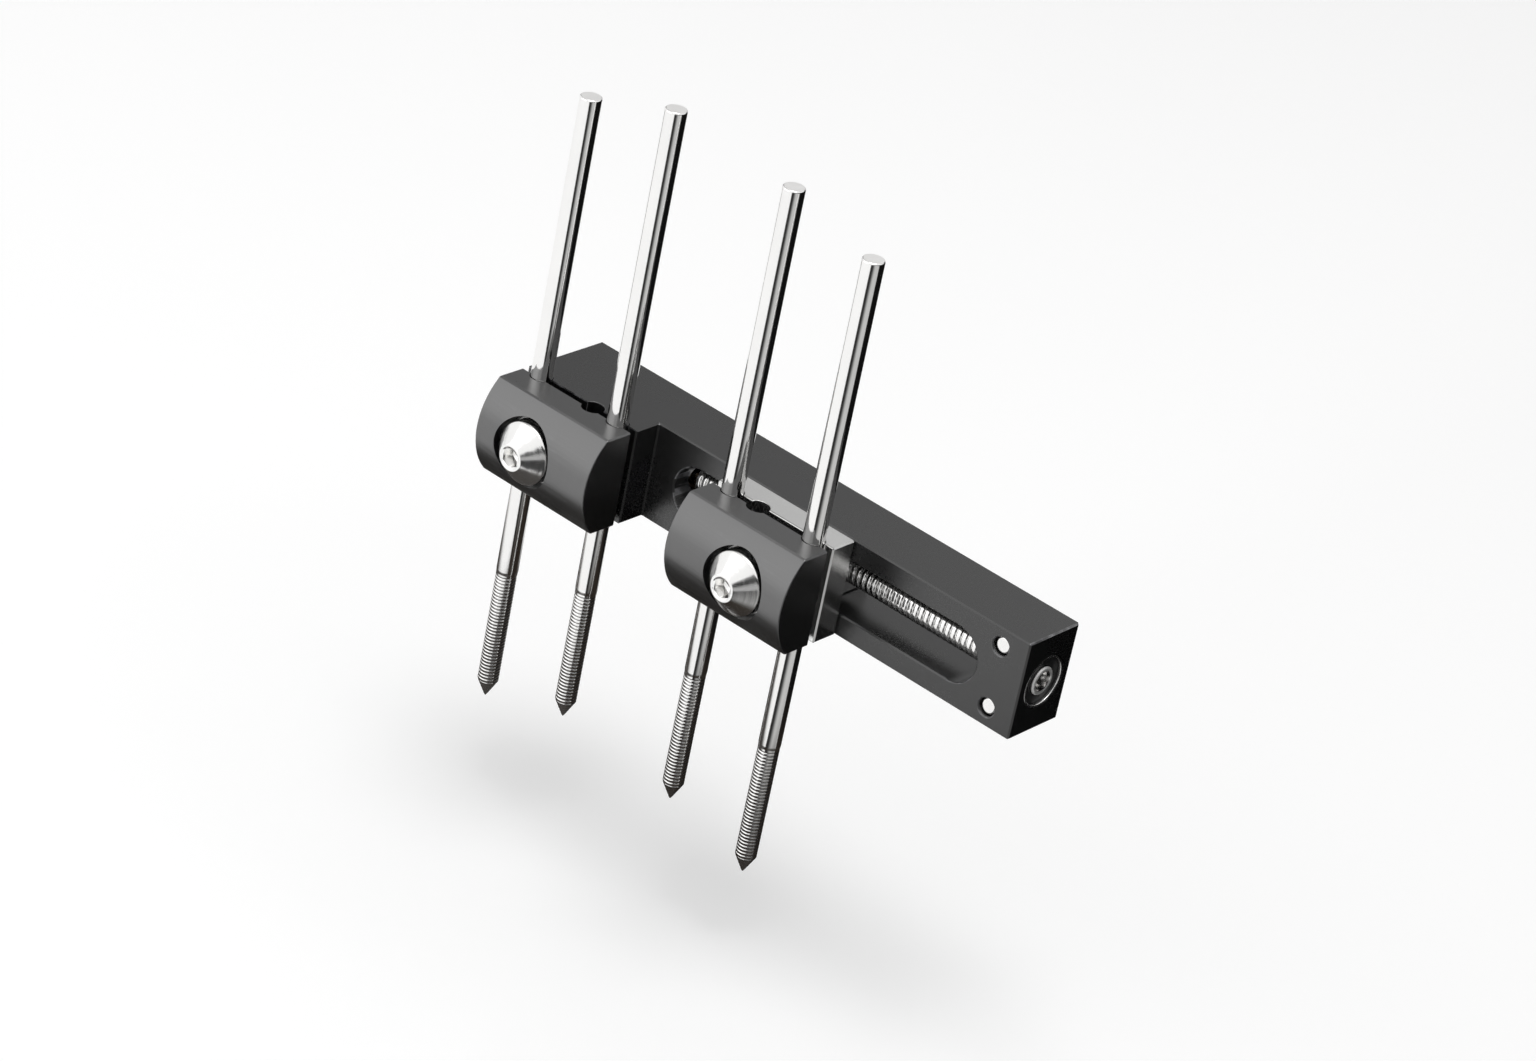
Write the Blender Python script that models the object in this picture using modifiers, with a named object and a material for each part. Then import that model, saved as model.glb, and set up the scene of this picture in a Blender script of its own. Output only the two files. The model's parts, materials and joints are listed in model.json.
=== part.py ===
"""Mini rail external fixator for small bones.

A rectangular rail carries a fixed pin clamp at its closed end. A lead screw runs along the
inside of the rail, in a long slot, and drives a carriage with a second pin clamp. Each clamp
is half of the rail or carriage and a round-fronted jaw, pulled together on two pins by one
screw with a conical head. A third pin seat in each clamp stays empty.

Axes: +X along the lead screw to its hex socket, +Y to the back of the rail, +Z up the pins.
The origin is on the rail's flat back, at mid height, behind the middle of the fixed clamp.
"""

import math

import bmesh
import bpy
from mathutils import Euler, Vector

MM = 0.001

# Rail
RAIL_LENGTH = 83.4 * MM
RAIL_DEPTH = 9.85 * MM
RAIL_HEIGHT = 14.0 * MM
EDGE_BREAK = 0.2 * MM
SLOT_INSET = 24.3 * MM
SLOT_END_WALL = 7.1 * MM
SLOT_HEIGHT = 7.85 * MM
CROSS_HOLE_RADIUS = 1.25 * MM
CROSS_HOLE_INSET = 4.25 * MM
CROSS_HOLE_WALL = 0.6 * MM
DOWEL_SINK = 0.5 * MM

# Clamps
CLAMP_WIDTH = 20.0 * MM
ARM_DEPTH = 4.3 * MM
SLIT_WIDTH = 1.0 * MM
JAW_FLAT = 4.4 * MM
JAW_BULGE = 2.95 * MM
PIN_SEAT_INSET = 3.0 * MM
SPARE_SEAT_OFFSET = 12.5 * MM
CLAMP_SCREW_OFFSET = 8.3 * MM
SEAT_CHAMFER = 0.1 * MM

# Carriage
CARRIAGE_INSET = 34.45 * MM
TONGUE_LENGTH = 13.8 * MM
TONGUE_SETBACK = 0.3 * MM
NUT_LENGTH = 8.0 * MM
NUT_RADIUS = 3.0 * MM

# Clamp screws, their washers and threaded inserts
HEAD_RADIUS = 4.35 * MM
HEAD_SKIRT = 2.4 * MM
HEAD_RIM = 0.15 * MM
CONE_HEIGHT = 2.4 * MM
CONE_TIP_RADIUS = 1.85 * MM
RECESS_CLEARANCE = 0.55 * MM
RECESS_WEB = 3.9 * MM
WASHER_THICKNESS = 0.5 * MM
SHANK_RADIUS = 1.95 * MM
THREAD_ENGAGEMENT = 5.5 * MM
INSERT_WALL = 0.3 * MM
INSERT_SINK = 0.5 * MM
HEX_FLATS = 2.5 * MM
HEX_DEPTH = 2.0 * MM

# Lead screw and its bearings
LEAD_RADIUS = 2.0 * MM
LEAD_JOURNAL_RADIUS = 1.5 * MM
LEAD_JOURNAL_LENGTH = 5.0 * MM
LEAD_SHOULDER = 0.5 * MM
COLLAR_RADIUS = 2.9 * MM
COLLAR_THICKNESS = 0.6 * MM
THRUST_WASHER_THICKNESS = 0.4 * MM
COVER_WASHER_THICKNESS = 0.8 * MM
COUNTERBORE_RADIUS = 3.75 * MM
RETAINING_RING_WALL = 0.4 * MM
RETAINING_RING_THICKNESS = 0.45 * MM
RETAINING_RING_SETBACK = 0.05 * MM
LEAD_END_SETBACK = 0.1 * MM
BUSH_WALL = 0.5 * MM

# Bone pins
PIN_RADIUS = 1.5 * MM
PIN_SHANK = 70.0 * MM
PIN_THREAD_LENGTH = 20.0 * MM
PIN_THREAD_RADIUS = 1.45 * MM
PIN_NECK = 0.4 * MM
PIN_POINT_LENGTH = 2.6 * MM
PIN_POINT_RADIUS = 0.12 * MM
PIN_TOP_BREAK = 0.15 * MM
PIN_RISES = {
    "pin_1": 40.5 * MM,
    "pin_2": 44.8 * MM,
    "pin_3": 43.1 * MM,
    "pin_4": 39.6 * MM,
}

# Clearances
RUNNING_CLEARANCE = 0.06 * MM
PASS_CLEARANCE = 0.18 * MM
SEATED_GAP = 0.05 * MM
SLIDE_FACE_GAP = 0.1 * MM

# Points that near count as one: at a drawn shape's seams, and after a cut
SEAM_WELD = 0.001 * MM
CUT_WELD = 0.00001 * MM

# Facets
ROUND_FACETS = 40
FINE_FACETS = 56
ARC_FACETS = 25
HOLE_FACETS = 32

# Places that follow from the sizes above
RAIL_START = -CLAMP_WIDTH / 2
RAIL_END = RAIL_START + RAIL_LENGTH
RAIL_BACK = 0.0
RAIL_FRONT = RAIL_BACK - RAIL_DEPTH
SCREW_LINE = (RAIL_FRONT + RAIL_BACK) / 2
RAIL_TOP = RAIL_HEIGHT / 2
RAIL_BOTTOM = -RAIL_HEIGHT / 2
ARM_FRONT = RAIL_FRONT - ARM_DEPTH
PIN_PLANE = ARM_FRONT - SLIT_WIDTH / 2
JAW_REAR = ARM_FRONT - SLIT_WIDTH
JAW_SHOULDER = JAW_REAR - JAW_FLAT
JAW_NOSE = JAW_SHOULDER - JAW_BULGE
RECESS_FLOOR = JAW_REAR - RECESS_WEB
RECESS_RADIUS = HEAD_RADIUS + RECESS_CLEARANCE
HEAD_SEAT = RECESS_FLOOR - WASHER_THICKNESS - 2 * SEATED_GAP
SEAT_RADIUS = PIN_RADIUS + RUNNING_CLEARANCE
INSERT_BORE = SHANK_RADIUS + RUNNING_CLEARANCE
INSERT_RADIUS = INSERT_BORE + INSERT_WALL
SLOT_START = RAIL_START + SLOT_INSET
SLOT_END = RAIL_END - SLOT_END_WALL
CARRIAGE_START = RAIL_START + CARRIAGE_INSET
CARRIAGE_END = CARRIAGE_START + CLAMP_WIDTH
TONGUE_START = CARRIAGE_START + (CLAMP_WIDTH - TONGUE_LENGTH) / 2
TONGUE_END = TONGUE_START + TONGUE_LENGTH
TONGUE_HEIGHT = SLOT_HEIGHT - 2 * RUNNING_CLEARANCE
BUSH_BORE = LEAD_RADIUS + RUNNING_CLEARANCE
BUSH_RADIUS = BUSH_BORE + BUSH_WALL
PILOT_BORE = LEAD_JOURNAL_RADIUS + RUNNING_CLEARANCE
PILOT_RADIUS = PILOT_BORE + BUSH_WALL
CROSS_HOLE_RISE = BUSH_RADIUS + SEATED_GAP + CROSS_HOLE_WALL + CROSS_HOLE_RADIUS
LEAD_START = SLOT_START - LEAD_JOURNAL_LENGTH
LEAD_END = RAIL_END - LEAD_END_SETBACK
RING_FACE = RAIL_END - RETAINING_RING_SETBACK
RING_BACK = RING_FACE - RETAINING_RING_THICKNESS
COVER_BACK = RING_BACK - SEATED_GAP - COVER_WASHER_THICKNESS
COLLAR_FACE = COVER_BACK - SEATED_GAP
COLLAR_BACK = COLLAR_FACE - COLLAR_THICKNESS
THRUST_BACK = COLLAR_BACK - SEATED_GAP - THRUST_WASHER_THICKNESS
COUNTERBORE_FLOOR = THRUST_BACK - SEATED_GAP

AXIS_TURNS = {
    "X": (0.0, math.pi / 2, 0.0),
    "-Y": (math.pi / 2, 0.0, 0.0),
    "Z": (0.0, 0.0, 0.0),
}

BLACK_ANODISED = ("black_anodised", (0.045, 0.045, 0.047, 1.0), 0.38, 0.35)
POLISHED_STEEL = ("polished_steel", (0.72, 0.72, 0.72, 1.0), 0.14, 1.0)
SATIN_STEEL = ("satin_steel", (0.62, 0.62, 0.61, 1.0), 0.3, 1.0)
PIN_STEEL = ("pin_steel", (0.66, 0.65, 0.63, 1.0), 0.18, 1.0)
BRONZE = ("bronze", (0.5, 0.33, 0.14, 1.0), 0.35, 1.0)
BLACK_POLYMER = ("black_polymer", (0.02, 0.02, 0.02, 1.0), 0.5, 0.0)


def clear_scene():
    """Remove every object of the start-up scene."""
    for obj in list(bpy.data.objects):
        bpy.data.objects.remove(obj, do_unlink=True)


def make_collection(name):
    """A new collection in the scene."""
    collection = bpy.data.collections.new(name)
    bpy.context.scene.collection.children.link(collection)
    return collection


def move_to(obj, collection):
    """Put an object in one collection only."""
    for owner in list(obj.users_collection):
        owner.objects.unlink(obj)
    collection.objects.link(obj)
    return obj


def finish(obj, recipe):
    """Give a piece its own material, made from a named recipe."""
    name, colour, roughness, metallic = recipe
    material = bpy.data.materials.new(f"{obj.name}_{name}")
    material.use_nodes = True
    shader = material.node_tree.nodes["Principled BSDF"]
    shader.inputs["Base Color"].default_value = colour
    shader.inputs["Roughness"].default_value = roughness
    shader.inputs["Metallic"].default_value = metallic
    material.diffuse_color = colour
    obj.data.materials.clear()
    obj.data.materials.append(material)
    return obj


def smooth_round(obj, degrees=30.0):
    """Shade the round faces smooth and keep the real edges sharp."""
    obj.data.shade_smooth()
    obj.data.set_sharp_from_angle(angle=math.radians(degrees))
    return obj


def set_origin(obj, point):
    """Move a mesh object's origin without moving its shape."""
    point = Vector(point)
    shift = obj.matrix_world.inverted() @ point
    for vertex in obj.data.vertices:
        vertex.co -= shift
    obj.location = point
    bpy.context.view_layer.update()
    return obj


def box(name, low, high):
    """A cuboid between two corners, with its scale applied."""
    low = Vector(low)
    high = Vector(high)
    bpy.ops.mesh.primitive_cube_add(size=1.0, location=(low + high) / 2)
    obj = bpy.context.active_object
    obj.name = name
    obj.scale = high - low
    bpy.ops.object.transform_apply(location=False, rotation=False, scale=True)
    return obj


def rod(name, radius, start, axis, length, facets=ROUND_FACETS):
    """A cylinder from a start point along X, -Y or Z."""
    turn = Euler(AXIS_TURNS[axis])
    direction = turn.to_matrix() @ Vector((0.0, 0.0, 1.0))
    bpy.ops.mesh.primitive_cylinder_add(
        vertices=facets,
        radius=radius,
        depth=length,
        location=Vector(start) + direction * length / 2,
        rotation=turn,
    )
    obj = bpy.context.active_object
    obj.name = name
    return obj


def turned(name, profile, place, axis, facets=ROUND_FACETS):
    """A turned piece: (radius, height) points from the top down, spun about the local Z."""
    mesh = bpy.data.meshes.new(name)
    points = [(radius, 0.0, height) for radius, height in profile]
    mesh.from_pydata(points, [(i, i + 1) for i in range(len(points) - 1)], [])
    obj = bpy.data.objects.new(name, mesh)
    bpy.context.scene.collection.objects.link(obj)
    obj.location = place
    obj.rotation_euler = AXIS_TURNS[axis]
    spin = obj.modifiers.new("turn", "SCREW")
    spin.axis = "Z"
    spin.angle = 2 * math.pi
    spin.steps = facets
    spin.render_steps = facets
    spin.use_merge_vertices = True
    spin.merge_threshold = SEAM_WELD
    spin.use_smooth_shade = True
    return apply_modifiers(obj, SEAM_WELD)


def ring(name, outer, inner, start, end):
    """A plain ring or bush on the lead screw's axis, between two places along X."""
    profile = [(inner, end), (outer, end), (outer, start), (inner, start), (inner, end)]
    return turned(name, profile, (0.0, SCREW_LINE, 0.0), "X")


def evaluated_mesh(obj, weld):
    """A new mesh of an object as it stands, with points nearer than the weld distance joined."""
    bpy.context.view_layer.update()
    graph = bpy.context.evaluated_depsgraph_get()
    mesh = bpy.data.meshes.new_from_object(obj.evaluated_get(graph))
    work = bmesh.new()
    work.from_mesh(mesh)
    bmesh.ops.remove_doubles(work, verts=work.verts, dist=weld)
    bmesh.ops.recalc_face_normals(work, faces=work.faces)
    work.to_mesh(mesh)
    work.free()
    return mesh


def apply_modifiers(obj, weld=CUT_WELD):
    """Replace an object's mesh by its evaluated one."""
    mesh = evaluated_mesh(obj, weld)
    obj.modifiers.clear()
    obj.data = mesh
    mesh.name = obj.name
    return obj


def outline(name, points, thickness, place, turn):
    """A flat outline extruded evenly about its plane and made a mesh."""
    curve = bpy.data.curves.new(name, "CURVE")
    curve.dimensions = "2D"
    curve.fill_mode = "BOTH"
    curve.extrude = thickness / 2
    spline = curve.splines.new("POLY")
    spline.points.add(len(points) - 1)
    for point, (u, v) in zip(spline.points, points):
        point.co = (u, v, 0.0, 1.0)
    spline.use_cyclic_u = True
    drawn = bpy.data.objects.new(f"{name}_outline", curve)
    bpy.context.scene.collection.objects.link(drawn)
    drawn.location = place
    drawn.rotation_euler = turn
    obj = bpy.data.objects.new(name, evaluated_mesh(drawn, SEAM_WELD))
    bpy.context.scene.collection.objects.link(obj)
    obj.matrix_world = drawn.matrix_world
    bpy.data.objects.remove(drawn, do_unlink=True)
    bpy.context.view_layer.update()
    return obj


def round_edges(obj, width, segments=1):
    """Break a piece's sharp edges."""
    bevel = obj.modifiers.new("edge_break", "BEVEL")
    bevel.width = width
    bevel.segments = segments
    bevel.limit_method = "ANGLE"
    bevel.angle_limit = math.radians(40)
    return apply_modifiers(obj)


def cut(obj, cutters, cutter_collection):
    """Take several tools out of a piece and keep the tools as hidden guides."""
    for tool in cutters:
        boolean = obj.modifiers.new(tool.name, "BOOLEAN")
        boolean.operation = "DIFFERENCE"
        boolean.solver = "EXACT"
        boolean.object = tool
        tool.hide_render = True
        tool.display_type = "WIRE"
        move_to(tool, cutter_collection)
    return obj


def join_solid(obj, other):
    """Union another solid into a piece, so that both are one body."""
    boolean = obj.modifiers.new("join", "BOOLEAN")
    boolean.operation = "UNION"
    boolean.solver = "EXACT"
    boolean.object = other
    apply_modifiers(obj)
    bpy.data.objects.remove(other, do_unlink=True)
    return obj


def hex_tool(name, place, axis):
    """A hexagonal key's shape, sunk from a face by the socket's depth."""
    corner = HEX_FLATS / 2 / math.cos(math.pi / 6)
    return rod(name, corner, place, axis, 2 * HEX_DEPTH, facets=6)


def obround(start, end, radius, facets=ARC_FACETS):
    """Points of a slot outline with round ends, in its own plane."""
    points = []
    for centre, first in ((end - radius, -math.pi / 2), (start + radius, math.pi / 2)):
        for i in range(facets + 1):
            angle = first + math.pi * i / facets
            points.append((centre + radius * math.cos(angle), radius * math.sin(angle)))
    return points


def jaw_outline():
    """The jaw's section: flat back, short flat top and bottom, and a round front."""
    half = RAIL_HEIGHT / 2
    radius = (half**2 + JAW_BULGE**2) / (2 * JAW_BULGE)
    centre = JAW_NOSE + radius
    reach = math.asin(half / radius)
    points = [(JAW_REAR, -half), (JAW_REAR, half)]
    for i in range(ARC_FACETS + 1):
        angle = reach - 2 * reach * i / ARC_FACETS
        points.append((centre - radius * math.cos(angle), radius * math.sin(angle)))
    return points


def clamp_place(side, offset):
    """The place along X of a clamp's feature, measured from its outer end."""
    return RAIL_START + offset if side == "fixed" else CARRIAGE_END - offset


def hole_tool(name, radius, place, axis, thickness, chamfer):
    """A tool for a round hole through two faces, flared at 45 degrees at both mouths."""
    face = thickness / 2
    wide = radius + 2 * chamfer
    profile = [
        (0.0, face + chamfer),
        (wide, face + chamfer),
        (radius, face - chamfer),
        (radius, chamfer - face),
        (wide, -face - chamfer),
        (0.0, -face - chamfer),
    ]
    return turned(name, profile, place, axis, HOLE_FACETS)


def seat_tools(side, name):
    """Tools for the three pin seats that cross a clamp from top to bottom."""
    tools = []
    offsets = (PIN_SEAT_INSET, SPARE_SEAT_OFFSET, CLAMP_WIDTH - PIN_SEAT_INSET)
    for number, offset in enumerate(offsets):
        place = (clamp_place(side, offset), PIN_PLANE, 0.0)
        label = f"{name}_seat_{number}"
        tools.append(hole_tool(label, SEAT_RADIUS, place, "Z", RAIL_HEIGHT, SEAT_CHAMFER))
    return tools


def insert_tool(side, name):
    """The blind hole for a clamp screw's threaded insert, with a drill's flat end."""
    x = clamp_place(side, CLAMP_SCREW_OFFSET)
    depth = INSERT_SINK + THREAD_ENGAGEMENT + 2 * SEATED_GAP
    start = (x, ARM_FRONT + depth, 0.0)
    return rod(name, INSERT_RADIUS + SEATED_GAP, start, "-Y", depth + SLIT_WIDTH / 2)


def bearing_tool():
    """One stepped tool for the counterbore, the end bush's bore and the pilot bush's hole."""
    middle = (SLOT_START + SLOT_END) / 2
    mouth = 2 * RAIL_END - COUNTERBORE_FLOOR
    pilot_floor = LEAD_START - 2 * RUNNING_CLEARANCE
    profile = [
        (0.0, mouth),
        (COUNTERBORE_RADIUS, mouth),
        (COUNTERBORE_RADIUS, COUNTERBORE_FLOOR),
        (BUSH_RADIUS + SEATED_GAP, COUNTERBORE_FLOOR),
        (BUSH_RADIUS + SEATED_GAP, middle),
        (PILOT_RADIUS + SEATED_GAP, middle),
        (PILOT_RADIUS + SEATED_GAP, pilot_floor),
        (0.0, pilot_floor),
    ]
    return turned("bearing_tool", profile, (0.0, SCREW_LINE, 0.0), "X", FINE_FACETS)


def make_rail(parts, cutters):
    """The rail with the fixed clamp's rear half, its slot, bores and cross holes."""
    corners = [
        (RAIL_START, ARM_FRONT),
        (RAIL_START + CLAMP_WIDTH, ARM_FRONT),
        (RAIL_START + CLAMP_WIDTH, RAIL_FRONT),
        (RAIL_END, RAIL_FRONT),
        (RAIL_END, RAIL_BACK),
        (RAIL_START, RAIL_BACK),
    ]
    rail = outline("rail", corners, RAIL_HEIGHT, (0.0, 0.0, 0.0), (0.0, 0.0, 0.0))
    slot = obround(SLOT_START, SLOT_END, SLOT_HEIGHT / 2)
    across = (0.0, SCREW_LINE, 0.0)
    slot_tool = outline("slot_tool", slot, 2 * RAIL_DEPTH, across, (math.pi / 2, 0.0, 0.0))
    cut(rail, [slot_tool], cutters)
    round_edges(rail, EDGE_BREAK)
    tools = [bearing_tool()]
    for name, z in (("upper_cross_hole", CROSS_HOLE_RISE), ("lower_cross_hole", -CROSS_HOLE_RISE)):
        place = (RAIL_END - CROSS_HOLE_INSET, SCREW_LINE, z)
        tools.append(hole_tool(name, CROSS_HOLE_RADIUS, place, "-Y", RAIL_DEPTH, EDGE_BREAK))
    tools.append(insert_tool("fixed", "rail_insert_hole"))
    tools.extend(seat_tools("fixed", "rail"))
    cut(rail, tools, cutters)
    smooth_round(apply_modifiers(rail))
    finish(rail, BLACK_ANODISED)
    move_to(rail, parts)
    return rail


def make_bearings(parts):
    """Bushes, thrust washers and the ring that hold the lead screw in the rail."""
    made = [
        ring("pilot_bush", PILOT_RADIUS, PILOT_BORE, LEAD_START, SLOT_START - LEAD_SHOULDER),
        ring("end_bush", BUSH_RADIUS, BUSH_BORE, SLOT_END + LEAD_SHOULDER, THRUST_BACK),
        ring(
            "thrust_washer",
            COUNTERBORE_RADIUS - SEATED_GAP,
            BUSH_BORE,
            THRUST_BACK + SEATED_GAP / 2,
            COLLAR_BACK - SEATED_GAP / 2,
        ),
        ring(
            "cover_washer",
            COUNTERBORE_RADIUS - SEATED_GAP,
            BUSH_BORE,
            COVER_BACK,
            RING_BACK - SEATED_GAP,
        ),
        ring(
            "retaining_ring",
            COUNTERBORE_RADIUS - SEATED_GAP,
            COUNTERBORE_RADIUS - RETAINING_RING_WALL,
            RING_BACK,
            RING_FACE,
        ),
    ]
    recipes = (BRONZE, BRONZE, BRONZE, BLACK_POLYMER, SATIN_STEEL)
    for piece, recipe in zip(made, recipes):
        smooth_round(piece)
        finish(piece, recipe)
        move_to(piece, parts)


def make_dowels(parts):
    """Two steel dowels pressed across the rail, sunk a little at both ends."""
    radius = CROSS_HOLE_RADIUS - SEATED_GAP
    length = RAIL_DEPTH - 2 * DOWEL_SINK
    profile = [
        (0.0, 0.0),
        (radius - EDGE_BREAK, 0.0),
        (radius, -EDGE_BREAK),
        (radius, EDGE_BREAK - length),
        (radius - EDGE_BREAK, -length),
        (0.0, -length),
    ]
    for name, z in (("upper_dowel", CROSS_HOLE_RISE), ("lower_dowel", -CROSS_HOLE_RISE)):
        place = (RAIL_END - CROSS_HOLE_INSET, RAIL_FRONT + DOWEL_SINK, z)
        dowel = turned(name, profile, place, "-Y", HOLE_FACETS)
        smooth_round(dowel)
        finish(dowel, POLISHED_STEEL)
        move_to(dowel, parts)


def make_lead_screw(parts, cutters):
    """The lead screw: pilot journal, threaded length, collar and socketed nose."""
    shoulder = SLOT_START + LEAD_SHOULDER
    profile = [
        (0.0, LEAD_END),
        (LEAD_RADIUS - EDGE_BREAK / 2, LEAD_END),
        (LEAD_RADIUS, LEAD_END - EDGE_BREAK / 2),
        (LEAD_RADIUS, COLLAR_FACE),
        (COLLAR_RADIUS, COLLAR_FACE),
        (COLLAR_RADIUS, COLLAR_BACK),
        (LEAD_RADIUS, COLLAR_BACK),
        (LEAD_RADIUS, shoulder + LEAD_SHOULDER),
        (LEAD_JOURNAL_RADIUS, shoulder),
        (LEAD_JOURNAL_RADIUS, LEAD_START + EDGE_BREAK),
        (LEAD_JOURNAL_RADIUS - EDGE_BREAK, LEAD_START),
        (0.0, LEAD_START),
    ]
    screw = turned("lead_screw", profile, (0.0, SCREW_LINE, 0.0), "X")
    socket = hex_tool("lead_socket", (LEAD_END - HEX_DEPTH, SCREW_LINE, 0.0), "X")
    cut(screw, [socket], cutters)
    smooth_round(apply_modifiers(screw))
    finish(screw, POLISHED_STEEL)
    move_to(screw, parts)


def make_carriage(parts, cutters):
    """The carriage: the sliding clamp's rear half with a tongue that rides in the slot."""
    low = (CARRIAGE_START, ARM_FRONT, RAIL_BOTTOM)
    high = (CARRIAGE_END, RAIL_FRONT - SLIDE_FACE_GAP, RAIL_TOP)
    carriage = round_edges(box("carriage", low, high), EDGE_BREAK)
    half = TONGUE_HEIGHT / 2
    inside = RAIL_FRONT - ARM_DEPTH / 2
    tongue_low = (TONGUE_START, inside, -half)
    tongue_high = (TONGUE_END, RAIL_BACK - TONGUE_SETBACK, half)
    tongue = round_edges(box("tongue", tongue_low, tongue_high), EDGE_BREAK)
    join_solid(carriage, tongue)
    way = LEAD_RADIUS + PASS_CLEARANCE
    pocket = NUT_RADIUS + SEATED_GAP
    pocket_end = TONGUE_START + NUT_LENGTH + SEATED_GAP
    profile = [
        (0.0, CARRIAGE_END),
        (way, CARRIAGE_END),
        (way, pocket_end),
        (pocket, pocket_end),
        (pocket, CARRIAGE_START),
        (0.0, CARRIAGE_START),
    ]
    tools = [
        turned("screw_way", profile, (0.0, SCREW_LINE, 0.0), "X"),
        insert_tool("sliding", "carriage_insert_hole"),
    ]
    tools.extend(seat_tools("sliding", "carriage"))
    cut(carriage, tools, cutters)
    smooth_round(apply_modifiers(carriage))
    set_origin(carriage, ((CARRIAGE_START + CARRIAGE_END) / 2, SCREW_LINE, 0.0))
    finish(carriage, POLISHED_STEEL)
    move_to(carriage, parts)
    nut = ring("lead_nut", NUT_RADIUS, BUSH_BORE, TONGUE_START, TONGUE_START + NUT_LENGTH)
    smooth_round(nut)
    finish(nut, BRONZE)
    move_to(nut, parts)


def make_jaw(side, parts, cutters):
    """A front jaw, with its pin seats, its screw's way and the round recess for the head."""
    name = f"{side}_jaw"
    first = RAIL_START if side == "fixed" else CARRIAGE_START
    middle = first + CLAMP_WIDTH / 2
    turn = (math.pi / 2, 0.0, math.pi / 2)
    jaw = outline(name, jaw_outline(), CLAMP_WIDTH, (middle, 0.0, 0.0), turn)
    round_edges(jaw, EDGE_BREAK)
    x = clamp_place(side, CLAMP_SCREW_OFFSET)
    way = SHANK_RADIUS + PASS_CLEARANCE
    depth = RECESS_FLOOR - JAW_NOSE + SLIT_WIDTH
    tools = [
        rod(f"{name}_way", way, (x, PIN_PLANE, 0.0), "-Y", RECESS_WEB + SLIT_WIDTH),
        rod(f"{name}_recess", RECESS_RADIUS, (x, RECESS_FLOOR, 0.0), "-Y", depth, FINE_FACETS),
    ]
    tools.extend(seat_tools(side, name))
    cut(jaw, tools, cutters)
    smooth_round(apply_modifiers(jaw))
    set_origin(jaw, (x, JAW_REAR, 0.0))
    finish(jaw, BLACK_ANODISED)
    move_to(jaw, parts)


def make_clamp_screw(side, parts, cutters):
    """A clamp screw: plain shank, skirt in the recess and a cone with a hex socket."""
    name = f"{side}_clamp_screw"
    x = clamp_place(side, CLAMP_SCREW_OFFSET)
    tip = HEAD_SEAT - HEAD_SKIRT - CONE_HEIGHT
    end = ARM_FRONT + INSERT_SINK + THREAD_ENGAGEMENT
    top = HEAD_SEAT - tip
    bottom = HEAD_SEAT - end
    profile = [
        (0.0, top),
        (CONE_TIP_RADIUS, top),
        (HEAD_RADIUS - HEAD_RIM, HEAD_SKIRT + HEAD_RIM),
        (HEAD_RADIUS, HEAD_SKIRT),
        (HEAD_RADIUS, EDGE_BREAK),
        (HEAD_RADIUS - EDGE_BREAK, 0.0),
        (SHANK_RADIUS, 0.0),
        (SHANK_RADIUS, bottom + 2 * EDGE_BREAK),
        (SHANK_RADIUS - 2 * EDGE_BREAK, bottom),
        (0.0, bottom),
    ]
    screw = turned(name, profile, (x, HEAD_SEAT, 0.0), "-Y", FINE_FACETS)
    socket = hex_tool(f"{name}_socket", (x, tip + HEX_DEPTH, 0.0), "-Y")
    cut(screw, [socket], cutters)
    smooth_round(apply_modifiers(screw))
    finish(screw, POLISHED_STEEL)
    move_to(screw, parts)


def make_clamp_trim(side, parts):
    """The washer under a clamp screw's head and the threaded insert that it bites in."""
    x = clamp_place(side, CLAMP_SCREW_OFFSET)
    outer = HEAD_RADIUS + RECESS_CLEARANCE / 2
    way = SHANK_RADIUS + PASS_CLEARANCE / 2
    top = WASHER_THICKNESS
    profile = [(way, top), (outer, top), (outer, 0.0), (way, 0.0), (way, top)]
    place = (x, RECESS_FLOOR - SEATED_GAP, 0.0)
    washer = turned(f"{side}_washer", profile, place, "-Y")
    smooth_round(washer)
    finish(washer, SATIN_STEEL)
    move_to(washer, parts)
    length = THREAD_ENGAGEMENT
    profile = [
        (INSERT_BORE, length),
        (INSERT_RADIUS, length),
        (INSERT_RADIUS, 0.0),
        (INSERT_BORE, 0.0),
        (INSERT_BORE, length),
    ]
    place = (x, ARM_FRONT + INSERT_SINK + length + SEATED_GAP, 0.0)
    insert = turned(f"{side}_insert", profile, place, "-Y")
    smooth_round(insert)
    finish(insert, SATIN_STEEL)
    move_to(insert, parts)


def make_pin(name, side, offset, parts):
    """A bone pin: flat top, long plain shank, threaded length and a conical point."""
    x = clamp_place(side, offset)
    tip = -PIN_SHANK - PIN_THREAD_LENGTH
    profile = [
        (0.0, 0.0),
        (PIN_RADIUS - PIN_TOP_BREAK, 0.0),
        (PIN_RADIUS, -PIN_TOP_BREAK),
        (PIN_RADIUS, -PIN_SHANK),
        (PIN_THREAD_RADIUS, -PIN_SHANK - PIN_NECK),
        (PIN_THREAD_RADIUS, tip + PIN_POINT_LENGTH),
        (PIN_POINT_RADIUS, tip),
        (0.0, tip),
    ]
    pin = turned(name, profile, (x, PIN_PLANE, RAIL_TOP + PIN_RISES[name]), "Z")
    smooth_round(pin)
    finish(pin, PIN_STEEL)
    move_to(pin, parts)


def gather(parts, name, place, members):
    """Parent pieces that travel together to an empty, keeping each where it is."""
    empty = bpy.data.objects.new(name, None)
    empty.empty_display_size = SLIT_WIDTH
    empty.location = place
    parts.objects.link(empty)
    bpy.context.view_layer.update()
    for member in members:
        obj = parts.objects[member]
        world = obj.matrix_world.copy()
        obj.parent = empty
        obj.matrix_parent_inverse = empty.matrix_world.inverted()
        obj.matrix_world = world


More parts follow.
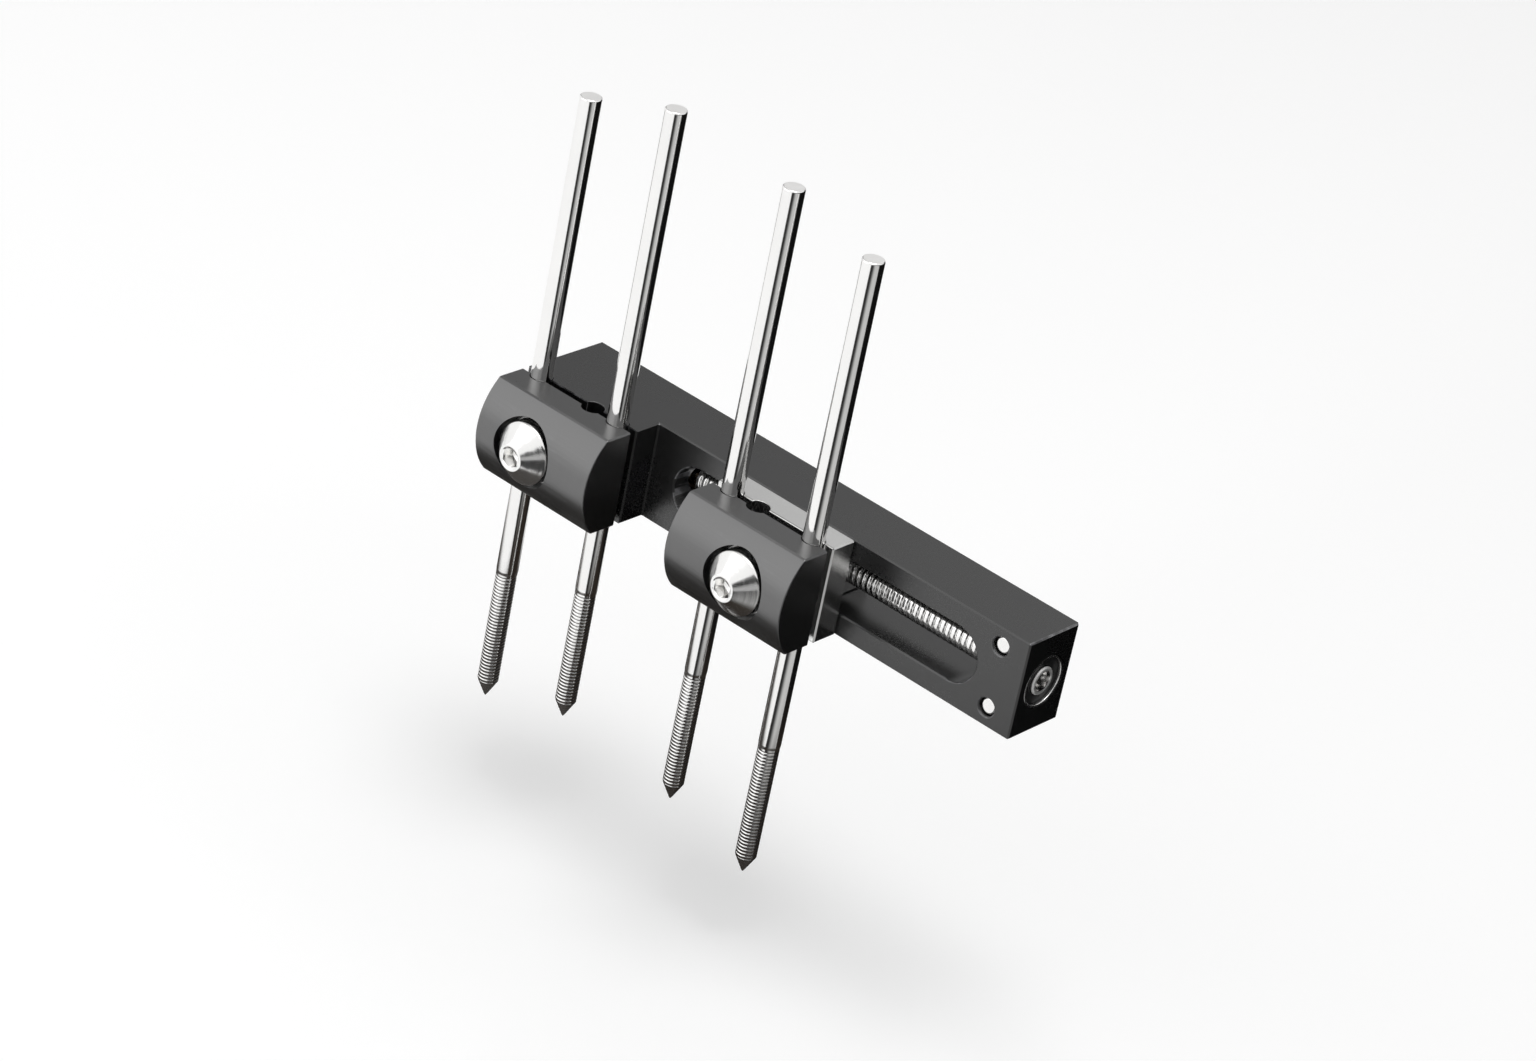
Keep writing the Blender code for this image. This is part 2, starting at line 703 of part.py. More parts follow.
def build():
    """Make every piece of the fixator."""
    clear_scene()
    parts = make_collection("mini_rail_fixator")
    cutters = make_collection("cutters")
    make_rail(parts, cutters)
    make_bearings(parts)
    make_dowels(parts)
    make_lead_screw(parts, cutters)
    make_carriage(parts, cutters)
    for side in ("fixed", "sliding"):
        make_jaw(side, parts, cutters)
        make_clamp_screw(side, parts, cutters)
        make_clamp_trim(side, parts)
    far_seat = CLAMP_WIDTH - PIN_SEAT_INSET
    make_pin("pin_1", "fixed", PIN_SEAT_INSET, parts)
    make_pin("pin_2", "fixed", far_seat, parts)
    make_pin("pin_3", "sliding", far_seat, parts)
    make_pin("pin_4", "sliding", PIN_SEAT_INSET, parts)
    gather(
        parts,
        "sliding_clamp_place",
        ((CARRIAGE_START + CARRIAGE_END) / 2, SCREW_LINE, 0.0),
        (
            "carriage",
            "lead_nut",
            "sliding_insert",
            "sliding_jaw",
            "sliding_washer",
            "sliding_clamp_screw",
            "pin_3",
            "pin_4",
        ),
    )
    gather(
        parts,
        "fixed_clamp_place",
        (0.0, PIN_PLANE, 0.0),
        ("fixed_insert", "fixed_jaw", "fixed_washer", "fixed_clamp_screw", "pin_1", "pin_2"),
    )


build()
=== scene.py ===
"""The looks of a mini rail external fixator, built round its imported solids.

The turned pieces are surfaces worked out with numpy, with their threads, sockets and
rounded edges. The milled pieces keep the shape of their solids and get finished edges.
Lengths are in metres, +X along the lead screw, +Y to the rail's back, +Z up the pins.
"""

import json
import math

import bpy
import numpy as np
from bpy.props import FloatProperty, FloatVectorProperty, PointerProperty
from mathutils import Matrix, Vector

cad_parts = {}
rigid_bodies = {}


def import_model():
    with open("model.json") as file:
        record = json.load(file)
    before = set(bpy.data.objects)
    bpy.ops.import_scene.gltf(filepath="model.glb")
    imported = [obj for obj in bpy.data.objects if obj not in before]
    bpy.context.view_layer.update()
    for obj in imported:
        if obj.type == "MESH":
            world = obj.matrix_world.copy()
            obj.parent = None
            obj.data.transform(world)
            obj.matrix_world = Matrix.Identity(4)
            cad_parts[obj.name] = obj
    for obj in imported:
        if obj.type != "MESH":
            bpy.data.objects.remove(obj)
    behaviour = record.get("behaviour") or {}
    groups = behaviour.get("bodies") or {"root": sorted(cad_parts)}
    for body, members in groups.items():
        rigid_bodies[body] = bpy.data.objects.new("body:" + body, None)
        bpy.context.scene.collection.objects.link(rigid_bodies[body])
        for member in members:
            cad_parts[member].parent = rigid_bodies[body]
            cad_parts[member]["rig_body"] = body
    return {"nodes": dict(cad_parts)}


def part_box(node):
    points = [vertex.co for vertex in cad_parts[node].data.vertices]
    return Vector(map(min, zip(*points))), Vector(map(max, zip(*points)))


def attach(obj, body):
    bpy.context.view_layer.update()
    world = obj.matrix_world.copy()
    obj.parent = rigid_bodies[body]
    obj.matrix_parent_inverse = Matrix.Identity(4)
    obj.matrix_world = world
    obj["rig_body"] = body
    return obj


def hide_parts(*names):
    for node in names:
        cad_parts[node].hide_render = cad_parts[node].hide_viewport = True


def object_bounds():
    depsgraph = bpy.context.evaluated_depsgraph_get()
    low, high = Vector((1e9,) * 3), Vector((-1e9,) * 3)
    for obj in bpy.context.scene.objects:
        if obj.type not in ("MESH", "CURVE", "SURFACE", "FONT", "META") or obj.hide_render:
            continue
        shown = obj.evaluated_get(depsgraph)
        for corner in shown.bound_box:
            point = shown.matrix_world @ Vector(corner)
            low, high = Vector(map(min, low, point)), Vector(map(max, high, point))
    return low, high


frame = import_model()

bl_info = {
    "name": "Mini rail fixator looks",
    "version": (1, 0, 0),
    "blender": (4, 5, 0),
    "location": "3D View > Sidebar > Fixator",
    "description": "Dresses the solids of a mini rail fixator with threads and finishes",
    "category": "Object",
}

MM = 0.001
CAD_BOX = [list(corner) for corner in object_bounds()]
TURN = 2 * math.pi

# Turned surfaces: points in a ring, rings in a pitch, the step between rings that meet at an
# edge, and the angle in degrees past which an edge is sharp
AROUND = 48
THREAD_STEPS = 12
END_GAP = 0.002 * MM
SHARP = 38.0

# Rounded corners: points in an arc, the most of a side that an arc takes, and how far along
# that side the point that keeps its shading straight lies outside the arc
ARC_POINTS = 5
MOST_OF_SIDE = 0.45
STRAIGHT = 0.03

# Milled surfaces: points closer than WELD merge, planes narrower than EDGE_WIDTH are bevels and
# wider than FLAT_WIDTH stay flat. Normals blend under GENTLE degrees, a bevel's under BEVEL_SPAN,
# and a flat plane's outweigh the others
WELD = 0.0005 * MM
EDGE_WIDTH = 0.2 * MM
FLAT_WIDTH = 2 * MM
GENTLE = 18.0
BEVEL_SPAN = 52.0
FLAT_WEIGHT = 1e4

# Triangles lie in one plane if their normals and offsets agree when rounded by these
SLOPE_STEPS = 300
SAME_PLANE = 0.01 * MM

# The black film: the jaws mirror more than the rail, are a little rougher and show less of the
# paler edges, which are rubbed wear and a painted edge highlight
RAIL_IOR, JAW_IOR = 1.82, 2.3
JAW_ROUGHER = 0.02
JAW_WEAR_AND_HIGHLIGHT = 0.1

# Turned pieces: lengths that the solids share
SOCKET_MOUTH = 1.56 * MM
SOCKET_BEVEL = 0.12 * MM
SOCKET_POINT = 0.5 * MM
CLAMP_HEAD = 4.8 * MM
CLAMP_SKIRT = 2.4 * MM
PIN_SHANK = 70 * MM
PIN_POINT = 2.6 * MM

AXES = {
    "X": np.array([(1, 0, 0), (0, 1, 0), (0, 0, 1)], float),
    "-Y": np.array([(0, -1, 0), (0, 0, -1), (1, 0, 0)], float),
    "Z": np.array([(0, 0, 1), (1, 0, 0), (0, 1, 0)], float),
}


def corners(node):
    """A solid's lowest and highest corner as arrays."""
    low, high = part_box(node)
    return np.array(low), np.array(high)


def middle_of(node):
    """The middle of a solid's box."""
    low, high = corners(node)
    return (low + high) / 2


def body_of(node):
    """The name of the body that a solid rides on."""
    return frame["nodes"][node]["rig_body"]


# Surfaces


def make_mesh(name, points, faces):
    """A mesh from an array of points and a list of faces, turned so that they face outwards."""
    fan = [(f[0], f[k], f[k + 1]) for f in faces for k in range(1, len(f) - 1)]
    a, b, c = (points[np.array(fan)[:, k]] for k in range(3))
    if np.einsum("ij,ij->i", a, np.cross(b, c)).sum() < 0:
        faces = [face[::-1] for face in faces]
    mesh = bpy.data.meshes.new(name)
    mesh.from_pydata(points.tolist(), [], faces)
    mesh.polygons.foreach_set("use_smooth", np.ones(len(faces), bool))
    mesh.update()
    return mesh


def place_piece(name, mesh, node, material):
    """A piece that stands for a solid: same place, same body, with the given material, and the
    solid hidden.
    """
    piece = bpy.data.objects.new(name, mesh)
    bpy.context.scene.collection.objects.link(piece)
    mesh.materials.append(material)
    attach(piece, body_of(node))
    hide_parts(node)
    return piece


def ring_faces(rows, count, hoop):
    """Faces between rings: face (i, k) joins points k and k + 1 of ring i to those of ring i + 1.

    On a hoop the last ring joins the first. Otherwise a fan of triangles closes each end
    on a pole, whose points come after the rings.
    """
    ring = np.arange(rows if hoop else rows - 1)[:, None]
    spoke = np.arange(count)[None, :]
    after, beside = (ring + 1) % rows, (spoke + 1) % count
    quads = np.stack(
        [
            ring * count + spoke,
            ring * count + beside,
            after * count + beside,
            after * count + spoke,
        ],
        axis=-1,
    ).reshape(-1, 4)
    faces = [tuple(face) for face in quads.tolist()]
    if not hoop:
        start, end = rows * count, rows * count + 1
        last = (rows - 1) * count
        faces += [(start, (k + 1) % count, k) for k in range(count)]
        faces += [(end, last + k, last + (k + 1) % count) for k in range(count)]
    return faces


def per_point(values):
    """Values of a turned surface, one per ring or one per point, as one per point."""
    return values if values.ndim == 2 else values[:, None] * np.ones(AROUND)


def joined(*stretches):
    """Places, radii and depth marks of a turned surface whose stretches follow each other.

    A stretch is its places, its radii and, where it is threaded, its depth marks.
    """
    plain = [(*stretch, np.zeros(len(stretch[0])))[:3] for stretch in stretches]
    places, radii, depths = zip(*plain)
    return (
        np.concatenate(places),
        np.concatenate([per_point(radius) for radius in radii]),
        np.concatenate([per_point(depth) for depth in depths]),
    )


def turned_piece(name, node, material, axis, line, along, radius, marks=None, hoop=False):
    """A turned surface: the point at angle t of a ring lies at along + radius (cos t, sin t).

    along holds one place per ring, radius one value per ring or one per point, line is the
    point where the axis starts, and marks are point attributes of the same layout.
    """
    rows = len(along)
    angle = np.arange(AROUND) * TURN / AROUND
    radius = per_point(radius)
    onward, right, up = AXES[axis]
    points = (
        np.asarray(line)
        + along[:, None, None] * onward
        + (radius * np.cos(angle))[..., None] * right
        + (radius * np.sin(angle))[..., None] * up
    ).reshape(-1, 3)
    ends = [0, rows - 1]
    if not hoop:
        poles = np.asarray(line) + along[ends][:, None] * onward
        points = np.concatenate([points, poles])
    mesh = make_mesh(name, points, ring_faces(rows, AROUND, hoop))
    mesh.set_sharp_from_angle(angle=math.radians(SHARP))
    for mark, values in (marks or {}).items():
        values = per_point(values)
        flat = values.reshape(-1)
        if not hoop:
            flat = np.concatenate([flat, values[ends, 0]])
        layer = mesh.attributes.new(mark, "FLOAT", "POINT")
        layer.data.foreach_set("value", flat.astype(np.float32))
    return place_piece(name, mesh, node, material)


def rounded(profile, fillet):
    """A profile of (along, radius) points with rounded corners.

    Each inner corner gives way to a quadratic arc that starts and ends at the fillet's
    length from it, or at MOST_OF_SIDE of the shorter side. A point close outside each end
    of the arc keeps the straight stretches' shading straight. A third number in a point
    is its own fillet.
    """
    fillets = [point[2] if len(point) > 2 else fillet for point in profile]
    points = np.array([point[:2] for point in profile], float)
    steps = np.linspace(0, 1, ARC_POINTS)[:, None]
    out = [points[:1]]
    for before, corner, after, wanted in zip(points, points[1:], points[2:], fillets[1:]):
        back, ahead = before - corner, after - corner
        sides = np.linalg.norm(back), np.linalg.norm(ahead)
        reach = min(wanted, min(sides) * MOST_OF_SIDE)
        start = corner + back * reach / sides[0]
        end = corner + ahead * reach / sides[1]
        out.append([start + back * STRAIGHT])
        out.append((1 - steps) ** 2 * start + 2 * steps * (1 - steps) * corner + steps**2 * end)
        out.append([end + ahead * STRAIGHT])
    out.append(points[-1:])
    return np.concatenate(out)


def hexagon(flats):
    """A hexagon's radius at each of a ring's angles.

    It is half the width across flats over the cosine of the angle to the nearest flat.
    """
    angle = np.arange(AROUND) * TURN / AROUND
    return flats / 2 / np.cos((angle % (TURN / 6)) - TURN / 12)


def socket_rings(mouth, flats, depth):
    """Rings of a hexagon socket, from the mouth back along the axis, as (along, radius).

    A round bevel at the mouth narrows to the hexagon, which runs down its depth and ends
    in a drilled cone.
    """
    hexed = hexagon(flats)
    wide = flats / 2 / math.cos(TURN / 12)
    round_row = np.ones(AROUND)
    rows = [
        (0.0, round_row * (wide + SOCKET_BEVEL)),
        (SOCKET_BEVEL, np.minimum(hexed + 0.01 * MM, wide)),
        (SOCKET_BEVEL + END_GAP, hexed),
        (depth, hexed),
        (depth + END_GAP, hexed * 0.995),
        (depth + 0.1 * MM, round_row * flats / 2 * 0.9),
        (depth + SOCKET_POINT, round_row * 0.02 * MM),
    ]
    along = mouth - np.array([row[0] for row in rows])
    return along, np.array([row[1] for row in rows])


def thread(along, crest, depth, pitch, start, end, runout):
    """Radius and depth mark of a right-hand thread.

    The phase is along / pitch - angle / turn. The groove is the fourth power of
    (1 - cos phase) / 2, faded in and out over each end's runout, and the radius is the
    crest less the depth times the groove.
    """
    angle = np.arange(AROUND) / AROUND
    phase = along[:, None] / pitch - angle[None, :]
    groove = ((1 - np.cos(TURN * phase)) / 2) ** 4
    fade_in = np.clip((along - start) / runout, 0, 1)
    fade_out = np.clip((end - along) / runout, 0, 1)
    cut = groove * (fade_in * fade_out)[:, None]
    return crest - depth * cut, cut


def merged_triangles(source):
    """A mesh's points with doubles merged, its whole triangles, their normals and areas."""
    source.calc_loop_triangles()
    points = np.zeros(len(source.vertices) * 3)
    source.vertices.foreach_get("co", points)
    tris = np.zeros(len(source.loop_triangles) * 3, np.int64)
    source.loop_triangles.foreach_get("vertices", tris)
    keys, merged = np.unique(
        np.round(points.reshape(-1, 3) / WELD).astype(np.int64), axis=0, return_inverse=True
    )
    points = keys * WELD
    tris = merged.reshape(-1)[tris].reshape(-1, 3)
    tris = tris[(tris != np.roll(tris, 1, axis=1)).all(axis=1)]
    a, b, c = (points[tris[:, k]] for k in range(3))
    cross = np.cross(b - a, c - a)
    size = np.linalg.norm(cross, axis=1)
    solid = size > 0
    return points, tris[solid], cross[solid] / size[solid, None], size[solid] / 2


def plane_widths(points, tris, normal, area):
    """The width of each triangle's plane: the plane's area over its box's diagonal."""
    offset = np.einsum("ij,ij->i", normal, points[tris[:, 0]])
    key = np.round(np.column_stack([normal * SLOPE_STEPS, offset / SAME_PLANE]))
    plane = np.unique(key.astype(np.int64), axis=0, return_inverse=True)[1].reshape(-1)
    total = np.bincount(plane, area)
    low = np.full((len(total), 3), np.inf)
    high = np.full((len(total), 3), -np.inf)
    for column in range(3):
        np.minimum.at(low, plane, points[tris[:, column]])
        np.maximum.at(high, plane, points[tris[:, column]])
    return (total / np.linalg.norm(high - low, axis=1))[plane]


def corner_shading(points, tris, normal, width):
    """A normal for each corner of each triangle.

    A corner on a wide plane keeps that plane's normal, and one on a curve takes the mean of
    its gentle neighbours, weighted by corner angle. A corner on a narrow bevel takes the
    shading of the faces beside it.
    """
    corner_face = np.repeat(np.arange(len(tris)), 3)
    own = normal[corner_face]
    on_edge = (width < EDGE_WIDTH)[corner_face]
    on_wide = (width > FLAT_WIDTH)[corner_face]
    ahead = points[np.roll(tris, -1, axis=1)] - points[tris]
    behind = points[np.roll(tris, 1, axis=1)] - points[tris]
    cosine = np.einsum("ijk,ijk->ij", ahead, behind) / (
        np.linalg.norm(ahead, axis=2) * np.linalg.norm(behind, axis=2)
    )
    weight = np.arccos(np.clip(cosine, -1, 1)).reshape(-1) * np.where(on_wide, FLAT_WEIGHT, 1.0)

    # Pairs of corners, first and other, that share a point
    corner_vertex = tris.reshape(-1)
    order = np.argsort(corner_vertex, kind="stable")
    counts = np.bincount(corner_vertex, minlength=len(points))
    starts = np.concatenate([[0], np.cumsum(counts)[:-1]])
    each = counts[corner_vertex]
    first = np.repeat(np.arange(len(corner_vertex)), each)
    step = np.arange(each.sum()) - np.repeat(np.cumsum(each) - each, each)
    other = order[np.repeat(starts[corner_vertex], each) + step]
    meeting = np.einsum("ij,ij->i", own[first], own[other])

    def blend(chosen, shading):
        """The weighted sum of the chosen pairs' shading for each first corner."""
        there = other[chosen]
        total = [
            np.bincount(first[chosen], weight[there] * shading[there, k], minlength=len(own))
            for k in range(3)
        ]
        return np.stack(total, axis=1)

    gentle = meeting > math.cos(math.radians(GENTLE))
    body = blend(gentle & ~on_edge[first] & ~on_edge[other], own)
    body[on_wide | on_edge] = own[on_wide | on_edge]
    body /= np.linalg.norm(body, axis=1)[:, None]
    close = meeting > math.cos(math.radians(BEVEL_SPAN))
    edge = blend(close & on_edge[first] & ~on_edge[other], body)
    alone = on_edge & (np.linalg.norm(edge, axis=1) == 0)
    edge[alone] = blend(close & on_edge[first] & on_edge[other], own)[alone]
    shade = np.where(on_edge[:, None], edge, body)
    return shade / np.linalg.norm(shade, axis=1)[:, None]


def smoothed_copy(name, node, material):
    """A solid's own shape with its doubled points merged and its edges shaded as rounded."""
    points, tris, normal, area = merged_triangles(frame["nodes"][node].data)
    width = plane_widths(points, tris, normal, area)
    mesh = bpy.data.meshes.new(name)
    mesh.from_pydata(points.tolist(), [], tris.tolist())
    mesh.polygons.foreach_set("use_smooth", np.ones(len(tris), bool))
    mesh.normals_split_custom_set(corner_shading(points, tris, normal, width))
    layer = mesh.attributes.new("edge", "FLOAT", "FACE")
    layer.data.foreach_set("value", (width < EDGE_WIDTH).astype(np.float32))
    mesh.update()
    return place_piece(name, mesh, node, material)


# Materials


class Value:
    """A material's socket as a value: each sum, product or power of it makes a Math node."""

    def __init__(self, maker, socket):
        self.maker = maker
        self.socket = socket

    def apply(self, operation, a, b):
        """A new socket from two values by one of the Math node's operations."""
        return self.maker.node("ShaderNodeMath", {"operation": operation}, {0: a, 1: b})

    def __add__(self, other):
        return self.apply("ADD", self, other)

    __radd__ = __add__

    def __sub__(self, other):
        return self.apply("SUBTRACT", self, other)

    def __rsub__(self, other):
        return self.apply("SUBTRACT", other, self)

    def __mul__(self, other):
        return self.apply("MULTIPLY", self, other)

    __rmul__ = __mul__

    def __pow__(self, other):
        return self.apply("POWER", self, other)


class Maker:
    """Builds one material: node() makes any node, the rest are short names for common ones."""

    def __init__(self, name, kind="Material"):
        """Starts an empty Material, or a World where kind says so."""
        shelf = {"Material": bpy.data.materials, "World": bpy.data.worlds}[kind]
        self.made = shelf.new(name)
        self.made.use_nodes = True
        self.tree = self.made.node_tree
        self.tree.nodes.clear()
        self.out = self.tree.nodes.new(f"ShaderNodeOutput{kind}").inputs["Surface"]

    @property
    def place(self):
        """The piece's own coordinates."""
        return self.node("ShaderNodeTexCoord", {}, {}, "Object")

    def along(self, *axes):
        """The piece's own coordinates along some axes, each by itself."""
        return [self.node("ShaderNodeSeparateXYZ", {}, {0: self.place}, axis) for axis in axes]

    def node(self, kind, settings, values, out=0):
        """A node of that type, its settings first, then its sockets by name or number."""
        made = self.tree.nodes.new(kind)
        for key, value in settings.items():
            setattr(made, key, value)
        for key, value in values.items():
            socket = made.inputs[key]
            if isinstance(value, Value):
                self.tree.links.new(value.socket, socket)
            else:
                socket.default_value = value
        return Value(self, made.outputs[out])

    def noise(self, scale, detail, stretch=(1, 1, 1)):
        """Noise from 0 to 1 with that many lumps a metre, drawn out by stretch."""
        place = self.node(
            "ShaderNodeMapping", {}, {"Vector": self.place, "Scale": [scale * s for s in stretch]}
        )
        return self.node(
            "ShaderNodeTexNoise",
            {},
            {"Vector": place, "Scale": 1.0, "Detail": detail, "Roughness": 0.55},
            "Fac",
        )

    def between(self, value, low, high, to_low=0.0, to_high=1.0):
        """value carried from one range to another, with soft ends."""
        return self.node(
            "ShaderNodeMapRange",
            {"interpolation_type": "SMOOTHSTEP"},
            {0: value, 1: low, 2: high, 3: to_low, 4: to_high},
        )

    def band(self, value, rise, fall):
        """1 where value is between two soft ends, each a pair of numbers, and 0 outside."""
        return self.between(value, *rise) * self.between(value, *fall, 1, 0)

    def mark(self, name):
        """A point or face attribute of the piece."""
        settings = {"attribute_name": name, "attribute_type": "GEOMETRY"}
        return self.node("ShaderNodeAttribute", settings, {}, "Fac")

    def most(self, first, *others):
        """The greatest of some values."""
        for other in others:
            first = self.node("ShaderNodeMath", {"operation": "MAXIMUM"}, {0: first, 1: other})
        return first

    def shown(self):
        """1 for rays from the camera, a reflection or glass, 0 for rays that only light."""
        kinds = ("Camera", "Glossy", "Transmission")
        return self.most(*(self.node("ShaderNodeLightPath", {}, {}, f"Is {k} Ray") for k in kinds))

    def mix(self, factor, a, b):
        """Colour a where factor is 0 and b where it is 1."""
        return self.node("ShaderNodeMix", {"data_type": "RGBA"}, {0: factor, 6: a, 7: b}, 2)

    def bump(self, height, distance, strength):
        """A normal from a height that goes from 0 to 1 over that distance."""
        values = {"Height": height, "Distance": distance, "Strength": strength}
        return self.node("ShaderNodeBump", {}, values)

    def finish(self, **values):
        """The surface shader, with underscores for the spaces in its sockets' names."""
        values = {key.replace("_", " "): value for key, value in values.items()}
        return self.end(self.node("ShaderNodeBsdfPrincipled", {}, values))

    def end(self, shader):
        """Joins a shader to the output and hands over what was made."""
        self.tree.links.new(shader.socket, self.out)
        return self.made


def shade_of(colour, factor):
    """A colour as four numbers, lightened or darkened by a factor."""
    return (*[min(1.0, channel * factor) for channel in colour], 1.0)


def grey(value):
    """A neutral colour as four numbers."""
    return (value, value, value, 1.0)


def black_anodised(finish, roughness, ior, wear_and_highlight):
    """Black anodised aluminium: a deep satin film, a fine grain, paler edges that are rubbed wear
    and a painted edge highlight.
    """
    m = Maker("black_anodised")
    cloud = m.noise(90, 4)
    grain = m.noise(3600, 3)
    edge = m.mark("edge")
    # Paler narrow bevels, patchy by noise: rubbed wear and a painted highlight along the edges
    worn_and_highlight = edge * m.between(m.noise(700, 3), 0.45, 0.7, 0.25, 1.0)
    base = m.mix(cloud, shade_of(finish.black, 0.7), shade_of(finish.black, 1.35))
    colour = m.mix(worn_and_highlight * wear_and_highlight, base, shade_of(finish.worn_and_highlight, 1.0))
    rough = roughness + m.between(cloud, 0.4, 0.7, 0.0, 0.04) + grain * 0.08
    normal = m.bump(grain, 0.003 * MM, 0.5)
    return m.finish(Base_Color=colour, Roughness=rough, IOR=ior, Normal=normal)


def polished_steel(name, finish, scale, stretch, gloss, groove_shade, relief):
    """Polished stainless steel with turning lines, painted shade in its thread grooves and matt
    cut ends.
    """
    m = Maker(name)
    cloud = m.noise(160, 3)
    lines = m.noise(scale, 2, stretch)
    scratches = m.between(m.noise(1500, 4, (1.0, 0.25, 0.25)), 0.62, 0.72)
    depth = m.between(m.mark("depth"), 0.15, 0.95)
    cut = m.mark("cut")
    base = m.mix(cloud, shade_of(finish.steel, 0.94), shade_of(finish.steel, 1.04))
    # Painted shade: the thread grooves darken towards their roots
    base = m.mix(depth * groove_shade, base, shade_of(finish.steel, 0.25))
    rough = gloss + lines * 0.05 + scratches * 0.03 + depth * 0.1 + cut * 0.45
    normal = m.bump(lines + m.noise(9000, 2) * cut * 3.0, relief, 0.6)
    return m.finish(Base_Color=base, Roughness=rough, Metallic=1.0, Normal=normal)


def ground_metal(finish):
    """Ground carriage metal: bright, satin, with grinding lines across it."""
    m = Maker("carriage_metal")
    cloud = m.noise(120, 4)
    lines = m.noise(6500, 3, (0.03, 1, 1))
    edge = m.mark("edge")
    base = m.mix(cloud, shade_of(finish.carriage, 0.92), shade_of(finish.carriage, 1.05))
    base = m.mix(edge, base, shade_of(finish.carriage, 0.7))
    rough = finish.carriage_gloss + lines * 0.12 + cloud * 0.05
    normal = m.bump(lines, 0.001 * MM, 0.55)
    return m.finish(Base_Color=base, Roughness=rough, Metallic=1.0, Normal=normal)


def turned_metal(name, colour, gloss, tarnish):
    """Turned metal of small rings and bushes, with turning lines and darker blotches."""
    m = Maker(name)
    cloud = m.between(m.noise(420, 4), 0.35, 0.7)
    lines = m.noise(5200, 2, (1, 0.2, 0.2))
    base = m.mix(cloud * tarnish, shade_of(colour, 1.05), shade_of(colour, 0.6))
    rough = gloss + lines * 0.08 + cloud * 0.08
    normal = m.bump(lines, 0.0008 * MM, 0.5)
    return m.finish(Base_Color=base, Roughness=rough, Metallic=1.0, Normal=normal)


def black_polymer(finish):
    """Moulded black polymer with a fine matt grain."""
    m = Maker("black_polymer")
    grain = m.noise(7000, 3)
    base = m.mix(m.noise(300, 3), shade_of(finish.black, 0.6), shade_of(finish.black, 1.6))
    normal = m.bump(grain, 0.002 * MM, 0.5)
    return m.finish(Base_Color=base, Roughness=0.38 + grain * 0.15, Normal=normal)


# What a user would change


class FixatorFinish(bpy.types.PropertyGroup):
    """Colours and gloss of the finishes."""

    black: FloatVectorProperty(
        name="Anodised black", description="Colour of the rail and jaws",
        default=(0.0025, 0.0025, 0.0027), subtype="COLOR", min=0, max=1,
    )
    # Paler colour of the narrow bevels: rubbed wear and a painted edge highlight
    worn_and_highlight: FloatVectorProperty(
        name="Worn edge", description="Colour that shows through on rubbed edges",
        default=(0.19, 0.19, 0.2), subtype="COLOR", min=0, max=1,
    )
    # How much of the paler edge colour shows: rubbed wear and a painted edge highlight
    edge_wear_and_highlight: FloatProperty(
        name="Edge wear", description="How much of the worn colour shows",
        default=0.8, subtype="FACTOR", min=0, max=1,
    )
    black_gloss: FloatProperty(
        name="Black roughness", description="Roughness of the anodised film",
        default=0.23, subtype="FACTOR", min=0, max=1,
    )
    steel: FloatVectorProperty(
        name="Steel", description="Colour of the polished steel",
        default=(0.9, 0.895, 0.885), subtype="COLOR", min=0, max=1,
    )
    carriage: FloatVectorProperty(
        name="Carriage metal", description="Colour of the ground carriage",
        default=(0.86, 0.858, 0.85), subtype="COLOR", min=0, max=1,
    )
    carriage_gloss: FloatProperty(
        name="Carriage roughness", description="Roughness of the ground carriage",
        default=0.15, subtype="FACTOR", min=0, max=1,
    )
    bronze: FloatVectorProperty(
        name="Bronze", description="Colour of the bushes and the lead nut",
        default=(0.17, 0.125, 0.08), subtype="COLOR", min=0, max=1,
    )


class FixatorThreads(bpy.types.PropertyGroup):
    """Sizes of the threads and sockets."""

    lead_pitch: FloatProperty(
        name="Lead pitch", description="Step of the lead screw's thread",
        default=0.9 * MM, unit="LENGTH",
    )
    lead_depth: FloatProperty(
        name="Lead thread depth", description="Depth of the lead screw's thread",
        default=0.17 * MM, unit="LENGTH",
    )
    clamp_pitch: FloatProperty(
        name="Clamp pitch", description="Step of the clamp screws' thread",
        default=0.7 * MM, unit="LENGTH",
    )
    clamp_depth: FloatProperty(
        name="Clamp thread depth", description="Depth of the clamp screws' thread",
        default=0.32 * MM, unit="LENGTH",
    )
    pin_pitch: FloatProperty(
        name="Pin pitch", description="Step of the pins' thread", default=0.5 * MM, unit="LENGTH"
    )
    pin_depth: FloatProperty(
        name="Pin thread depth", description="Depth of the pins' thread",
        default=0.07 * MM, unit="LENGTH",
    )
    hex_flats: FloatProperty(
        name="Socket size", description="Width of the sockets across their flats",
        default=2.5 * MM, unit="LENGTH",
    )
    hex_depth: FloatProperty(
        name="Socket depth", description="Depth of the sockets' flats",
        default=2.0 * MM, unit="LENGTH",
    )


class FixatorStudio(bpy.types.PropertyGroup):
    """The studio round the object."""

    floor: FloatVectorProperty(
        name="Floor", description="Colour of the floor", default=(0.96, 0.96, 0.96),
        subtype="COLOR", min=0, max=1,
    )
    sky: FloatProperty(
        name="Room light", description="Strength of the even light from the room",
        default=0.6, min=0,
    )
    lens: FloatProperty(
        name="Lens", description="Focal length on a sensor 36 mm wide", default=104.0, min=10
    )


# Operators, one for each piece or group of like pieces


